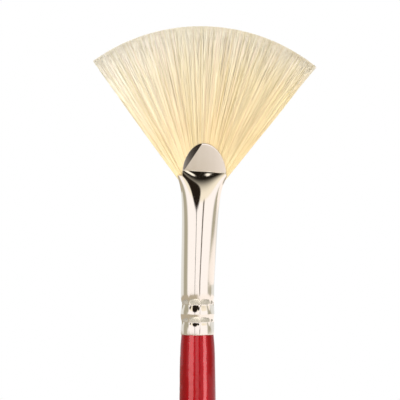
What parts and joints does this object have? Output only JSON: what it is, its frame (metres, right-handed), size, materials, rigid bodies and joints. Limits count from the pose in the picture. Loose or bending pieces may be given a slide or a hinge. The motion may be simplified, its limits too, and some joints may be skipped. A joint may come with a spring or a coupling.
{
  "type": "fan paint brush",
  "caption": "Fan paint brush: pale hog bristles spread flat, a polished nickel ferrule with a pressed crease and crimps, and a long red lacquered handle.",
  "frame": {"origin": "on the handle's axis where its straight tail begins, 1.2 mm above the rounded tail end", "axes": "+Z along the handle toward the bristles, +X across the fan to its right seen from the front, +Y through the fan's thickness toward the back"},
  "size_m": [0.0539, 0.0096, 0.3251],
  "materials": {
    "bare_wood": "turned, unfinished under the coat",
    "red_lacquer": "glossy dipped lacquer",
    "glue": "cured glue film",
    "nickel": "polished nickel plate, slightly warm",
    "resin": "cured resin",
    "thread": "waxed thread",
    "bristle": "natural hog bristle, fine and slightly glossy"
  },
  "bodies": {
    "brush": {"handle_core": "bare_wood", "handle_lacquer": "red_lacquer", "tenon_glue": "glue", "ferrule": "nickel", "resin_plug": "resin", "binding_thread": "thread", "bristle_root": "bristle"},
    "tuft": {"bristle_fan": "bristle"}
  },
  "joints": [
    {"name": "tuft_flex", "type": "hinge", "parent": "brush", "child": "tuft", "pos_m": [0.00124, 0, 0.29688], "axis": [0.9997, 0, -0.0262], "range_deg": [-25, 25], "stiffness_Nm_per_rad": 0.03}
  ]
}
